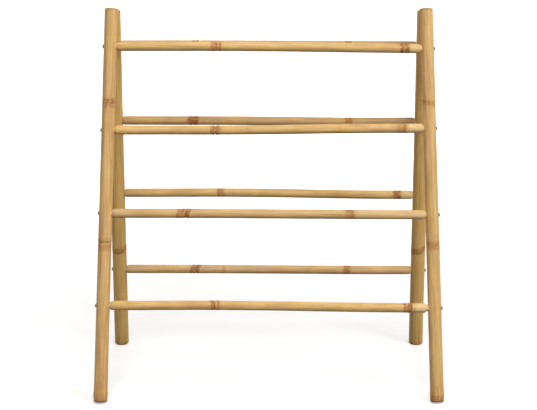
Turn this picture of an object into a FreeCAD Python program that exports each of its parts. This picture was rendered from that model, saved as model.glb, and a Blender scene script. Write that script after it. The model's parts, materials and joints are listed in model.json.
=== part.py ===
"""Towel ladder: two bamboo ladder frames hinged at the top, so that they stand open as an A or fold flat.

Millimetres. X runs along the rungs, the front frame is on the -Y side and Z is up. The origin is on the
floor, under the middle of the open rack.
"""

import FreeCAD
import Part
import math
import os

from FreeCAD import Placement, Rotation, Vector

# Stance of the open rack
HEIGHT = 1000.0  # floor to the highest edge of the front pole tops
DEPTH = 500.0  # front of the front feet to the back of the rear feet
FOOT_SPACING = 869.0  # left pole axis to right pole axis, at the floor
TOP_SPACING = 821.5  # the same at the full height
FOOT_FLAT = 1.2  # how far each foot's low edge is dressed down to stand flat
STOP_GAP = 0.3  # between the pole tops, which meet there and stop the frames spreading
TOP_LAP = 6.0  # how far the front poles run on past the tops of the rear poles

# Bamboo poles
FRONT_POLE_FOOT_DIA = 35.5
FRONT_POLE_TOP_DIA = 34.0
REAR_POLE_FOOT_DIA = 41.0
REAR_POLE_TOP_DIA = 40.0
POLE_WALL = 7.0
POLE_EDGE_ROUND = 3.0
DIAPHRAGM = 4.0  # thickness of the natural wall across a pole at each node
POLE_NODE_HALF = 11.0  # half the length of the swelling at a node
POLE_NODE_SHARES = {
    ("front", "left"): (0.403, 0.757),
    ("front", "right"): (0.017, 0.395, 0.759),
    ("rear", "left"): (0.308, 0.668),
    ("rear", "right"): (0.307, 0.667),
}

# Bamboo rungs
RUNG_DIA = 24.5
RUNG_NODE_HALF = 9.0
RUNG_EDGE_ROUND = 3.0
RUNG_END_GAP = 1.0  # from the round of a pole to the rung's end
SHORT_END_GAP = 5.5  # the same at the right end of the front bottom rung, which shows its dowel

# Places of the rungs, bottom to top: the left end's height as a share of the full height, how far the right
# end lies below it as a share of the rung's diameter, and the nodes as shares of the span between pole axes
RUNG_NAMES = ("bottom", "lower", "upper", "top")
FRONT_RUNG_HEIGHT_SHARES = (0.243, 0.476, 0.687, 0.900)
REAR_RUNG_HEIGHT_SHARES = (0.241, 0.476, 0.688, 0.898)
FRONT_RUNG_DROP_SHARES = (0.25, 0.15, -0.18, 0.23)
REAR_RUNG_DROP_SHARES = (0.14, 0.25, 0.15, 0.10)
FRONT_RUNG_NODE_SHARES = ((0.335, 0.928), (0.246, 0.757), (0.335, 0.918), (0.335, 0.928))
REAR_RUNG_NODE_SHARES = ((0.257, 0.762), (0.340, 0.925), (0.254, 0.761), (0.264, 0.752))

# Ridge pair and groove round every node
NODE_RIDGE = 0.7
NODE_GROOVE = 0.5

# Dowels that plug the rung ends and enter the poles
DOWEL_DIA = 17.0
DOWEL_INSERT = 45.0  # length inside the rung
DOWEL_CHAMFER = 1.0
GLUE_GAP = 0.06  # round each glued dowel and plug

# Pan-head screws through the poles into the dowels
RUNG_SCREW_DIA = 4.5
RUNG_SCREW_LENGTH = 50.0
RUNG_SCREW_HEAD_DIA = 11.0
RUNG_SCREW_HEAD_HEIGHT = 4.6
RUNG_SCREW_RECESS_LENGTH = 5.6
RUNG_SCREW_RECESS_WIDTH = 1.3
RUNG_SCREW_RECESS_DEPTH = 2.0
SCREW_GAP = 0.06  # round a screw's shank and head
SEAT_SINK = 0.3  # how far a screw's seat lies below the round of the pole

# Strap hinges between the pole tops
LEAF_WIDTH = 18.0
LEAF_LENGTH = 45.0
LEAF_THICK = 2.0
LEAF_CORNER = 5.0
LEAF_MARGIN = 0.6  # flat left bare beside and below a leaf
BARREL_WALL = 2.0
HINGE_PIN_DIA = 4.0
HINGE_PIN_GAP = 0.05
HINGE_PIN_HEAD_DIA = 6.0
HINGE_PIN_HEAD_HEIGHT = 1.2
KNUCKLE_COUNT = 3
KNUCKLE_GAP = 0.4  # between neighbouring knuckles, and from a knuckle to the other frame

# Countersunk screws of the hinge leaves
HINGE_SCREW_DIA = 3.5
HINGE_SCREW_LENGTH = 18.0
HINGE_SCREW_HEAD_DIA = 7.0
HINGE_SCREW_HEAD_HEIGHT = 1.7
HINGE_SCREW_RECESS_LENGTH = 3.8
HINGE_SCREW_RECESS_WIDTH = 0.8
HINGE_SCREW_RECESS_DEPTH = 0.9
HINGE_SCREW_PLACE_SHARES = (0.38, 0.78)  # down the leaf from the pin

# Wooden plugs in the pole tops, which the hinge screws bite into
TOP_PLUG_LENGTH = 78.0
TOP_PLUG_SINK = 1.0

OVERRUN = 5.0  # how far cutting shapes run past what they cut

SIDES = {"left": -1, "right": 1}
UP = Vector(0, 0, 1)
ALONG = Vector(1, 0, 0)
ORIGIN = Vector(0, 0, 0)

BARREL_RADIUS = HINGE_PIN_DIA / 2 + HINGE_PIN_GAP + BARREL_WALL
FLAT_SET = BARREL_RADIUS + KNUCKLE_GAP  # from the hinge pin's axis to the flat on a pole


def rod(start, direction, length, radius):
    """A plain cylinder from a start point."""
    return Part.makeCylinder(radius, length, start, direction)


def line(start, end):
    """A straight edge."""
    return Part.LineSegment(start, end).toShape()


def arc(start, through, end):
    """A circular edge through three points."""
    return Part.Arc(start, through, end).toShape()


def fuse_all(shapes):
    """One solid from several that overlap."""
    whole = shapes[0]
    for shape in shapes[1:]:
        whole = whole.fuse(shape)
    return whole.removeSplitter()


def lathe(edges):
    """A solid of revolution about Z from the edges of a closed half outline in XZ."""
    outline = Part.Face(Part.Wire(edges))
    return outline.revolve(ORIGIN, UP, 360)


class Frame:
    """One ladder frame: the lean of its poles and where they stand, seen from the side."""

    def __init__(self, name, turn, foot_dia, top_dia, rung_places):
        self.name = name
        self.turn = turn
        self.sign = -1 if turn == 0 else 1
        self.facing = None
        self.foot_radius = foot_dia / 2
        self.top_radius = top_dia / 2
        self.bore_radius = (self.foot_radius + self.top_radius) / 2 - POLE_WALL
        self.rung_places = dict(zip(RUNG_NAMES, zip(*rung_places)))
        half_flat = LEAF_WIDTH / 2 + LEAF_MARGIN
        self.axis_to_flat = math.sqrt(self.top_radius**2 - half_flat**2)
        self.axis_to_pin = FLAT_SET + self.axis_to_flat

    def edge_rise(self, radius, lean):
        """Height between the middle of a square-cut, rounded pole end and its highest or lowest point."""
        return (radius - POLE_EDGE_ROUND) * math.sin(lean) + POLE_EDGE_ROUND * (1 - math.cos(lean))

    def top_above_pin(self, lean):
        """Length of pole above the hinge pin: the rear tops meet the flats of the front poles."""
        if self.facing is None:
            return FLAT_SET / math.tan(lean) + TOP_LAP
        spread = lean + self.facing.lean
        return (FLAT_SET * (1 + math.cos(spread)) - STOP_GAP) / math.sin(spread)

    def pin_height_for(self, lean):
        """Height of the hinge pin that puts the pole's top edge at the full height."""
        rise = self.axis_to_pin * math.sin(lean) + self.top_above_pin(lean) * math.cos(lean)
        return HEIGHT - rise - self.edge_rise(self.top_radius, lean)

    def foot_for(self, lean, pin_height):
        """Distance back from the pin and height of the middle of the foot's end."""
        foot_z = self.edge_rise(self.foot_radius, lean) - FOOT_FLAT
        down = (pin_height + self.axis_to_pin * math.sin(lean) - foot_z) / math.cos(lean)
        return self.axis_to_pin * math.cos(lean) + down * math.sin(lean), foot_z

    def reach_for(self, lean, pin_height):
        """How far out from the pin the foot's outer edge stands."""
        out, _ = self.foot_for(lean, pin_height)
        round_out = POLE_EDGE_ROUND * (1 - math.sin(lean))
        return out + (self.foot_radius - POLE_EDGE_ROUND) * math.cos(lean) + round_out

    def stand(self, facing=None):
        """Finds the lean that makes the foot reach half the depth, and keeps what follows from it."""
        self.facing = facing
        low, high = math.radians(2), math.radians(60)
        for _ in range(60):
            lean = (low + high) / 2
            pin = facing.pin_height if facing else self.pin_height_for(lean)
            if self.reach_for(lean, pin) < DEPTH / 2:
                low = lean
            else:
                high = lean
        self.lean = lean
        self.pin_height = pin
        self.foot_out, self.foot_z = self.foot_for(lean, pin)
        above = self.top_above_pin(lean)
        self.top_out = self.axis_to_pin * math.cos(lean) - above * math.sin(lean)
        self.top_z = pin + self.axis_to_pin * math.sin(lean) + above * math.cos(lean)

    def hinge_place(self, x):
        """Placement of hinge parts: X on the pin, Y towards the other frame, Z up along the pole."""
        turned = Rotation(UP, self.turn) * Rotation(ALONG, -math.degrees(self.lean))
        return Placement(Vector(x, 0, self.pin_height), turned)


def half_spacing(height):
    """Half the distance between the left and right pole axes at a height."""
    return (FOOT_SPACING + (TOP_SPACING - FOOT_SPACING) * height / HEIGHT) / 2


class Pole:
    """One leaning bamboo pole: its axis and its radius along it."""

    def __init__(self, frame, side):
        self.frame = frame
        self.side = side
        sign = SIDES[side]
        self.foot = Vector(sign * half_spacing(frame.foot_z), frame.sign * frame.foot_out, frame.foot_z)
        self.top = Vector(sign * half_spacing(frame.top_z), frame.sign * frame.top_out, frame.top_z)
        self.length = (self.top - self.foot).Length
        self.direction = (self.top - self.foot).normalize()

    def at_height(self, height):
        """The point of the pole's axis at a height above the floor."""
        share = (height - self.foot.z) / (self.top.z - self.foot.z)
        return self.foot + (self.top - self.foot) * share

    def radius_at(self, height):
        """The pole's outer radius between nodes at a height above the floor."""
        share = (height - self.foot.z) / (self.top.z - self.foot.z)
        return self.frame.foot_radius + (self.frame.top_radius - self.frame.foot_radius) * share


class RungEnd:
    """Where one end of a rung meets a pole: the joint's middle, direction and depths."""

    def __init__(self, pole, centre, inward, gap=RUNG_END_GAP):
        self.centre = centre
        self.inward = inward
        self.radius = pole.radius_at(centre.z)
        self.reach = self.radius + gap
        dowel_radius = DOWEL_DIA / 2
        self.dowel_past = math.sqrt(pole.frame.bore_radius**2 - dowel_radius**2) - GLUE_GAP
        head_radius = RUNG_SCREW_HEAD_DIA / 2 + SCREW_GAP
        self.seat_out = math.sqrt(self.radius**2 - head_radius**2) - SEAT_SINK

    def socket(self):
        """Hole in the pole's inner wall for the dowel."""
        return rod(self.centre, self.inward, self.radius + OVERRUN, DOWEL_DIA / 2 + GLUE_GAP)

    def screw_hole(self):
        """Hole and seat in the pole's outer wall for the screw."""
        outward = -self.inward
        hole = rod(self.centre, outward, self.radius + OVERRUN, RUNG_SCREW_DIA / 2 + SCREW_GAP)
        seat_start = self.centre + outward * self.seat_out
        seat = rod(seat_start, outward, RUNG_SCREW_HEAD_HEIGHT, RUNG_SCREW_HEAD_DIA / 2 + SCREW_GAP)
        return hole.fuse(seat)

    def dowel_room(self):
        """What the dowel takes up in the pole's bore, with its gap."""
        start = self.centre - self.inward * (self.dowel_past + GLUE_GAP)
        return rod(start, self.inward, self.dowel_past + self.radius, DOWEL_DIA / 2 + GLUE_GAP)

    def dowel(self):
        """Wooden dowel from the far wall of the pole's bore into the rung."""
        start = self.centre - self.inward * self.dowel_past
        length = self.dowel_past + self.reach + DOWEL_INSERT
        plain = rod(start, self.inward, length, DOWEL_DIA / 2)
        plain = plain.makeChamfer(DOWEL_CHAMFER, [e for e in plain.Edges if e.Closed])
        bore_length = self.dowel_past + RUNG_SCREW_LENGTH - self.seat_out + SCREW_GAP
        return plain.cut(rod(start, self.inward, bore_length, RUNG_SCREW_DIA / 2 + SCREW_GAP))

    def screw(self):
        """The pan-head screw in its seat."""
        placed = pan_head_screw()
        seat = self.centre - self.inward * self.seat_out
        placed.Placement = Placement(seat, Rotation(UP, -self.inward))
        return placed


def culm(length, foot_radius, tip_radius, edge_round, node_places, node_half):
    """A bamboo culm along +Z: rounded ends, and a ridge pair with a groove between at each node."""

    def radius_at(z):
        return foot_radius + (tip_radius - foot_radius) * z / length

    def at(z, swell=0.0):
        return Vector(radius_at(z) + swell, 0, z)

    diagonal = edge_round * (1 - math.sqrt(0.5))
    foot_in = Vector(foot_radius - edge_round, 0, 0)
    tip_in = Vector(tip_radius - edge_round, 0, length)
    foot_mid = Vector(foot_radius - diagonal, 0, diagonal)
    tip_mid = Vector(tip_radius - diagonal, 0, length - diagonal)
    here = at(edge_round)
    edges = [line(ORIGIN, foot_in), arc(foot_in, foot_mid, here)]
    for z in node_places:
        begin, end = at(z - node_half), at(z + node_half)
        groove = at(z, -NODE_GROOVE)
        edges.append(line(here, begin))
        edges.append(arc(begin, at(z - node_half / 2, NODE_RIDGE), groove))
        edges.append(arc(groove, at(z + node_half / 2, NODE_RIDGE), end))
        here = end
    last = at(length - edge_round)
    tip_centre = Vector(0, 0, length)
    edges += [line(here, last), arc(last, tip_mid, tip_in)]
    edges += [line(tip_in, tip_centre), line(tip_centre, ORIGIN)]
    return lathe(edges)


def cross_recess(length, width, depth):
    """A cross-shaped recess that opens upwards at z 0."""
    bars = []
    for size_x, size_y in ((length, width), (width, length)):
        bars.append(Part.makeBox(size_x, size_y, depth + OVERRUN, Vector(-size_x / 2, -size_y / 2, -depth)))
    return bars[0].fuse(bars[1])


def screw_shank(radius, length):
    """A shank down from z 0 with a pointed tip as long as it is wide."""
    point = 2 * radius
    shank = rod(ORIGIN, -UP, length - point, radius)
    tip = Part.makeCone(radius, 0, point, Vector(0, 0, point - length), -UP)
    return shank.fuse(tip)


def pan_head_screw():
    """Screw along Z: seat at z 0, domed head above it, shank below."""
    head_radius = RUNG_SCREW_HEAD_DIA / 2
    rim = RUNG_SCREW_HEAD_HEIGHT / 4
    crown = Vector(0, 0, RUNG_SCREW_HEAD_HEIGHT)
    rim_low, rim_high = Vector(head_radius, 0, 0), Vector(head_radius, 0, rim)
    middle = Vector(head_radius * math.sqrt(0.5), 0, rim + (RUNG_SCREW_HEAD_HEIGHT - rim) * math.sqrt(0.5))
    outline = [line(ORIGIN, rim_low), line(rim_low, rim_high)]
    outline += [arc(rim_high, middle, crown), line(crown, ORIGIN)]
    recess = cross_recess(RUNG_SCREW_RECESS_LENGTH, RUNG_SCREW_RECESS_WIDTH, RUNG_SCREW_RECESS_DEPTH)
    recess.translate(crown)
    shank = screw_shank(RUNG_SCREW_DIA / 2, RUNG_SCREW_LENGTH)
    return fuse_all([lathe(outline), shank]).cut(recess)


def countersunk_screw():
    """Screw along Z: flat head's top at z 0, everything below."""
    head = Part.makeCone(
        HINGE_SCREW_HEAD_DIA / 2, HINGE_SCREW_DIA / 2, HINGE_SCREW_HEAD_HEIGHT, ORIGIN, -UP
    )
    shank = screw_shank(HINGE_SCREW_DIA / 2, HINGE_SCREW_LENGTH)
    recess = cross_recess(HINGE_SCREW_RECESS_LENGTH, HINGE_SCREW_RECESS_WIDTH, HINGE_SCREW_RECESS_DEPTH)
    return fuse_all([head, shank]).cut(recess)


def countersunk_hole():
    """The room for a countersunk screw, with its gap all round and open above."""
    hole_radius = HINGE_SCREW_DIA / 2 + SCREW_GAP
    mouth_radius = HINGE_SCREW_HEAD_DIA / 2 + SCREW_GAP
    mouth = Part.makeCone(mouth_radius, hole_radius, HINGE_SCREW_HEAD_HEIGHT, ORIGIN, -UP)
    above = rod(ORIGIN, UP, OVERRUN, mouth_radius)
    return fuse_all([above, mouth, rod(ORIGIN, -UP, HINGE_SCREW_LENGTH + SCREW_GAP, hole_radius)])


def hinge_screw_places():
    """Placements of a leaf's screws in the hinge's own axes."""
    face = LEAF_THICK - FLAT_SET
    down = [share * LEAF_LENGTH for share in HINGE_SCREW_PLACE_SHARES]
    return [Placement(Vector(0, face, -z), Rotation(UP, Vector(0, 1, 0))) for z in down]


def at_hinge(shape, frame, x, local=None):
    """A copy of a shape carried from the hinge's own axes to its place on a frame."""
    placed = shape.copy()
    placed.Placement = frame.hinge_place(x) * (local or Placement())
    return placed


def knuckle_spans(first):
    """Start and end along the pin of every second knuckle."""
    span = LEAF_WIDTH / KNUCKLE_COUNT
    starts = [i * span - LEAF_WIDTH / 2 for i in range(first, KNUCKLE_COUNT, 2)]
    return [(start, start + span) for start in starts]


def hinge_leaf(first_knuckle):
    """One leaf in the hinge's own axes: a plate with rounded foot corners, its knuckles and screw holes."""
    corner = Vector(-LEAF_WIDTH / 2, -FLAT_SET, -LEAF_LENGTH)
    plate = Part.makeBox(LEAF_WIDTH, LEAF_THICK, LEAF_LENGTH, corner)
    foot_corners = []
    for edge in plate.Edges:
        across = edge.Vertexes[0].Point - edge.Vertexes[1].Point
        if abs(across.y) > LEAF_THICK / 2 and edge.CenterOfMass.z < -LEAF_LENGTH / 2:
            foot_corners.append(edge)
    plate = plate.makeFillet(LEAF_CORNER, foot_corners)
    knuckles = []
    for start, end in knuckle_spans(first_knuckle):
        inset = KNUCKLE_GAP / 2
        knuckles.append(rod(Vector(start + inset, 0, 0), ALONG, end - start - KNUCKLE_GAP, BARREL_RADIUS))
    leaf = fuse_all([plate] + knuckles)
    for start, end in knuckle_spans(1 - first_knuckle):
        room = end - start + KNUCKLE_GAP
        leaf = leaf.cut(rod(Vector(start - KNUCKLE_GAP / 2, 0, 0), ALONG, room, FLAT_SET))
    pin_hole_start = Vector(-LEAF_WIDTH / 2 - OVERRUN, 0, 0)
    pin_hole_radius = HINGE_PIN_DIA / 2 + HINGE_PIN_GAP
    leaf = leaf.cut(rod(pin_hole_start, ALONG, LEAF_WIDTH + 2 * OVERRUN, pin_hole_radius))
    for place in hinge_screw_places():
        hole = countersunk_hole()
        hole.Placement = place
        leaf = leaf.cut(hole)
    return leaf


def hinge_pin():
    """The pin in the hinge's own axes, with a domed head at each end."""
    half = LEAF_WIDTH / 2
    head_radius = HINGE_PIN_HEAD_DIA / 2
    pieces = [rod(Vector(-half, 0, 0), ALONG, LEAF_WIDTH, HINGE_PIN_DIA / 2)]
    for outward in (ALONG, -ALONG):
        base = outward * half
        head = Part.makeCone(head_radius, HINGE_PIN_DIA / 2, HINGE_PIN_HEAD_HEIGHT, base, outward)
        pieces.append(head)
    return fuse_all(pieces)


def pole_bores(pole, node_shares):
    """The hollows of a pole, between its ends and the natural walls at its nodes."""
    walls = [share * pole.length for share in node_shares]
    starts = [-OVERRUN] + [z + DIAPHRAGM / 2 for z in walls]
    ends = [z - DIAPHRAGM / 2 for z in walls] + [pole.length + OVERRUN]
    bores = []
    for start, end in zip(starts, ends):
        low_end = pole.foot + pole.direction * start
        bores.append(rod(low_end, pole.direction, end - start, pole.frame.bore_radius))
    return bores


def pole_flat(pole):
    """What is planed off a pole's top to let the hinge leaf in."""
    frame = pole.frame
    across = 2 * frame.top_radius + 2 * OVERRUN
    below = LEAF_LENGTH + LEAF_MARGIN
    tall = below + frame.top_above_pin(frame.lean) + OVERRUN
    block = Part.makeBox(across, frame.top_radius, tall, Vector(-across / 2, -FLAT_SET, -below))
    return at_hinge(block, frame, hinge_x(pole.side))


def floor_under(pole):
    """The space below the floor at a pole's foot."""
    size = 2 * pole.frame.foot_radius + 2 * OVERRUN
    corner = pole.foot - Vector(size / 2, size / 2, size + pole.foot.z)
    return Part.makeBox(size, size, size, corner)


def hinge_x(side):
    """Place of a hinge along the pin axis, in the middle of the pole behind its leaf."""
    frame_height = FRONT.pin_height - LEAF_LENGTH / 2
    return SIDES[side] * half_spacing(frame_height)


def make_pole(pole, rung_ends):
    """A pole with its hollows, sockets, screw seats, hinge flat and dressed foot."""
    frame = pole.frame
    node_shares = POLE_NODE_SHARES[frame.name, pole.side]
    nodes = [share * pole.length for share in node_shares]
    solid = culm(pole.length, frame.foot_radius, frame.top_radius, POLE_EDGE_ROUND, nodes, POLE_NODE_HALF)
    solid.Placement = Placement(pole.foot, Rotation(UP, pole.direction))
    cuts = pole_bores(pole, node_shares) + [pole_flat(pole), floor_under(pole)]
    for end in rung_ends:
        cuts += [end.socket(), end.screw_hole()]
    for place in hinge_screw_places():
        cuts.append(at_hinge(countersunk_hole(), frame, hinge_x(pole.side), place))
    for cut in cuts:
        solid = solid.cut(cut)
    return solid


def make_top_plug(pole, rung_ends):
    """The wooden plug in a pole's open top, drilled for the hinge screws and any dowel that reaches it."""
    frame = pole.frame
    start = pole.top - pole.direction * TOP_PLUG_LENGTH
    length = TOP_PLUG_LENGTH - TOP_PLUG_SINK
    plug = rod(start, pole.direction, length, frame.bore_radius - GLUE_GAP)
    plug = plug.makeChamfer(DOWEL_CHAMFER, [e for e in plug.Edges if e.Closed])
    for place in hinge_screw_places():
        plug = plug.cut(at_hinge(countersunk_hole(), frame, hinge_x(pole.side), place))
    for end in rung_ends:
        plug = plug.cut(end.dowel_room()).cut(end.screw_hole())
    return plug


def make_rung(frame, name, left, right):
    """A rung between two poles, with sanded ends and a bore for its dowels."""
    span = (right.centre - left.centre).Length
    radius = RUNG_DIA / 2
    _, _, node_shares = frame.rung_places[name]
    nodes = [share * span - left.reach for share in node_shares]
    solid = culm(span - left.reach - right.reach, radius, radius, RUNG_EDGE_ROUND, nodes, RUNG_NODE_HALF)
    solid.Placement = Placement(left.centre + left.inward * left.reach, Rotation(UP, left.inward))
    bore = rod(left.centre, left.inward, span, DOWEL_DIA / 2 + GLUE_GAP)
    return solid.cut(bore)


def rung_ends_of(frame, poles, name):
    """The two joints of a rung, left then right."""
    height_share, drop_share, _ = frame.rung_places[name]
    left_height = HEIGHT * height_share
    right_height = left_height - RUNG_DIA * drop_share
    left = poles["left"].at_height(left_height)
    right = poles["right"].at_height(right_height)
    inward = (right - left).normalize()
    right_gap = SHORT_END_GAP if frame is FRONT and name == "bottom" else RUNG_END_GAP
    return RungEnd(poles["left"], left, inward), RungEnd(poles["right"], right, -inward, right_gap)


def make_frame(frame, first_knuckle):
    """Every piece of one ladder frame, by name."""
    nodes = {}
    poles = {side: Pole(frame, side) for side in SIDES}
    ends = {name: rung_ends_of(frame, poles, name) for name in RUNG_NAMES}
    for index, side in enumerate(SIDES):
        own_ends = [pair[index] for pair in ends.values()]
        nodes[f"{frame.name}_{side}_pole"] = make_pole(poles[side], own_ends)
        nodes[f"{frame.name}_{side}_top_plug"] = make_top_plug(poles[side], own_ends)
        nodes[f"{frame.name}_{side}_rung_screws"] = Part.makeCompound([end.screw() for end in own_ends])
        for name, pair in ends.items():
            nodes[f"{frame.name}_{name}_rung_{side}_dowel"] = pair[index].dowel()
        x = hinge_x(side)
        nodes[f"{side}_hinge_{frame.name}_leaf"] = at_hinge(hinge_leaf(first_knuckle), frame, x)
        screws = [at_hinge(countersunk_screw(), frame, x, place) for place in hinge_screw_places()]
        nodes[f"{side}_hinge_{frame.name}_screws"] = Part.makeCompound(screws)
    for name, pair in ends.items():
        nodes[f"{frame.name}_{name}_rung"] = make_rung(frame, name, *pair)
    return nodes


FRONT_RUNGS = (FRONT_RUNG_HEIGHT_SHARES, FRONT_RUNG_DROP_SHARES, FRONT_RUNG_NODE_SHARES)
REAR_RUNGS = (REAR_RUNG_HEIGHT_SHARES, REAR_RUNG_DROP_SHARES, REAR_RUNG_NODE_SHARES)
FRONT = Frame("front", 0, FRONT_POLE_FOOT_DIA, FRONT_POLE_TOP_DIA, FRONT_RUNGS)
REAR = Frame("rear", 180, REAR_POLE_FOOT_DIA, REAR_POLE_TOP_DIA, REAR_RUNGS)


def main():
    """Builds every piece and writes one file for each."""
    FRONT.stand()
    REAR.stand(FRONT)
    nodes = {**make_frame(FRONT, 0), **make_frame(REAR, 1)}
    for side in SIDES:
        nodes[f"{side}_hinge_pin"] = at_hinge(hinge_pin(), FRONT, hinge_x(side))
    os.makedirs("parts", exist_ok=True)
    for name, shape in nodes.items():
        shape.exportStep(f"parts/{name}.step")
    print(len(nodes), "pieces; hinge pin height", round(FRONT.pin_height, 4))
    print("lean, degrees:", round(math.degrees(FRONT.lean), 4), round(math.degrees(REAR.lean), 4))


main()
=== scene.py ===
"""Looks of the towel ladder: bamboo poles and rungs modelled over the plain solids, finishes for its wood and
metal fittings, and the stage that it stands on."""

import json
import math
from typing import NamedTuple

import bmesh
import bpy
from mathutils import Euler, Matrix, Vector
from mathutils.geometry import intersect_line_line


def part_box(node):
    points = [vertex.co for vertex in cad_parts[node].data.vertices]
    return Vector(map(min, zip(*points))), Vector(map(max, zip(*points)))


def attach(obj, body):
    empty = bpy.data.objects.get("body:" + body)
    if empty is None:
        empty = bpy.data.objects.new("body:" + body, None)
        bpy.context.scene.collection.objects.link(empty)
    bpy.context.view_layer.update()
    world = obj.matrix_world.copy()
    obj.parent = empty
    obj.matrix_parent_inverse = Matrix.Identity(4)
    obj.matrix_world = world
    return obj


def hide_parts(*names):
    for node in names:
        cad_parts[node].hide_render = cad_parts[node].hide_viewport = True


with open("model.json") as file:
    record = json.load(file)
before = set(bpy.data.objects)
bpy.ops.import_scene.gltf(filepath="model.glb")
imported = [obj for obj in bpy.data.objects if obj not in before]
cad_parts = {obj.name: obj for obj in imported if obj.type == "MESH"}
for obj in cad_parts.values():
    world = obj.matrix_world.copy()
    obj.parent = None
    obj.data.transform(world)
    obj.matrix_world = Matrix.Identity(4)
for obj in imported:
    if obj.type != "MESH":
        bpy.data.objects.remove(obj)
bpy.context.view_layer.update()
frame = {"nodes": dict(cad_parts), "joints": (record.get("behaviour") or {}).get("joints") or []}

bl_info = {
    "name": "Towel ladder",
    "version": (1, 0, 0),
    "blender": (4, 5, 0),
    "location": "View3D > Sidebar > Ladder",
    "description": "Models the bamboo of a folding towel ladder and finishes its fittings",
    "category": "Object",
}

MM = 0.001
SIDES = {"left": -1, "right": 1}
RUNG_NAMES = ("bottom", "lower", "upper", "top")
HINGE_PIN = Vector(frame["joints"][0]["pos_m"])

# Middle of a right-hand pole's foot and top, and its radius there, in metres
POLE_LINES = {
    "front": ((0.434451, -0.233251, 0.002068), (0.410824, -0.012396, 0.996895), 0.0176, 0.0170),
    "rear": ((0.434439, 0.230525, 0.002555), (0.410957, 0.017366, 0.991279), 0.0204, 0.0200),
}
POLE_LEANS = {"front": 12.5168, "rear": 12.1662}
FOOT_SWELLS = {"front": 0.00095, "rear": 0.0}  # how far a pole swells a little above its foot


class Node(NamedTuple):
    """A node of a culm, with bands given by their middle and half their width in mm, and their depth."""

    share: float  # of the culm's length, from its foot or its left end
    first: tuple = (0, 5, 0.7)  # brown band
    second: tuple = (0, 1, 0)  # another band beside it
    ridge: float = 0.7  # height against a usual node
    pinch: float = 0.8  # depth of the groove against a usual one
    line: float = 0.4  # thin scar at the pinch
    blotch: float = 0.3  # dark patches
    scar: float = 0.0  # ring-shaped scars
    rims: float = 0.3  # pale rims beside the bands
    # Paler skin past the node: partly sanded pale bamboo, partly a painted highlight on a rung's rounded end
    beyond: float = 0.0  # paler skin past the node
    tilt: float = 0.0  # slant of the marks across the culm
    bow: float = 0.0  # sag of the marks at the front, in mm


POLE_NODES = {
    ("front", "left"): (
        Node(0.403, (-14, 9, 0.35), (5, 7, 0.3), ridge=0.6, pinch=0.5, line=1.0, blotch=0.15, rims=0.3),
        Node(0.757, (-1, 11, 0.15), ridge=0.2, pinch=0.1, line=0, blotch=1.6, scar=0.5, rims=0.1),
    ),
    ("front", "right"): (
        Node(0.017, (-6, 7, 0.3), ridge=0, pinch=0, line=0, blotch=0.6, rims=0),
        Node(0.395, (5, 9, 0.5), (-7, 3, 0.3), ridge=0.4, pinch=0.2, line=0.2, blotch=0.15, rims=0.1, bow=3),
        Node(0.759, (-1, 7, 0.4), ridge=0.4, pinch=0.2, line=0.12, blotch=0.5, rims=0.1, tilt=3),
    ),
    ("rear", "left"): (
        Node(0.308, (6, 8, 0.5), (-3, 2, 0.5), ridge=0.9, pinch=0.3, line=0.4, blotch=0.15, rims=0.2, bow=6),
        Node(0.668, (2, 6, 0.7), ridge=0.9, pinch=0.5, line=0.5),
    ),
    ("rear", "right"): (
        Node(0.307, (6, 8, 0.55), (-3, 2, 0.6), ridge=0.9, pinch=0.3, line=0.4, blotch=0.15, rims=0.2,
             tilt=-2, bow=6),
        Node(0.667, (2, 6, 0.7), ridge=0.9, pinch=0.5, line=0.5),
    ),
}
RUNG_NODES = {
    ("front", "bottom"): (
        Node(0.335, (-3, 6, 0.8), (11, 4, 0.5), pinch=1.0, line=0.5, blotch=0.3, rims=0.15),
        Node(0.928, (-4, 6, 0.8), (-16, 4, 0.4), ridge=0.9, line=0.6, blotch=1.3, scar=0.4, rims=0.5,
             beyond=0.7),
    ),
    ("front", "lower"): (
        Node(0.246, (-13, 9, 0.5), (7, 6, 0.95), ridge=1.0, pinch=1.7, line=0.9, blotch=1.0, rims=0.4,
             tilt=5),
        Node(0.757, (-11, 9, 0.45), (-2, 4, 0.5), pinch=1.0, line=0.9, blotch=0.2, rims=0.2, beyond=0.3),
    ),
    ("front", "upper"): (
        Node(0.335, (-7, 6, 0.45), (6, 6, 0.45), pinch=1.0, line=0.6, blotch=0.3, scar=1.0, rims=0.15),
        Node(0.918, (-9, 9, 0.3), (3, 4, 0.45), ridge=0.5, pinch=0.4, line=0.15, blotch=0.2, rims=0.3,
             beyond=0.8),
    ),
    ("front", "top"): (
        Node(0.335, (-6, 8, 0.55), (9, 4, 0.5), pinch=1.0, line=0.6, blotch=0.4, rims=0.1),
        Node(0.928, (-7, 5, 0.85), (6, 5, 0.55), line=0.3, blotch=1.5, scar=0.5, rims=0.2, beyond=0.4),
    ),
    ("rear", "bottom"): (
        Node(0.257, (-8, 6, 0.8), (7, 6, 0.9), ridge=0.9, pinch=1.2, line=0.7, blotch=0.6, rims=0.4, tilt=6),
        Node(0.762, (0, 10.5, 0.75), ridge=0.3, pinch=0.2, line=0.1, blotch=0.05, rims=0.1),
    ),
    ("rear", "lower"): (
        Node(0.340, (-6, 4, 0.8), (5, 7, 0.45), ridge=0.2, pinch=0.2, line=0.2, blotch=0.1, rims=0.1),
        Node(0.925, (-2, 11, 0.75), line=0.5, blotch=1.2, rims=0.2, beyond=0.8),
    ),
    ("rear", "upper"): (
        Node(0.254, (0, 14, 0.8), ridge=0.6, pinch=0.5, line=0.3, blotch=1.6, scar=0.3, rims=0.2),
        Node(0.761, (0, 10.5, 0.8), ridge=0.2, pinch=0.2, line=0.1, blotch=0.05, rims=0.1),
    ),
    ("rear", "top"): (Node(0.264, (1, 8, 0.9), blotch=1.2), Node(0.755, (0, 9, 0.9), blotch=0.6)),
}
NO_NODE = Node(-1.0, (0, 1, 0), line=0, blotch=0, rims=0)
NODE_PARTS = ("Spot", "Marks", "First", "Second", "Paleness")
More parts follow.
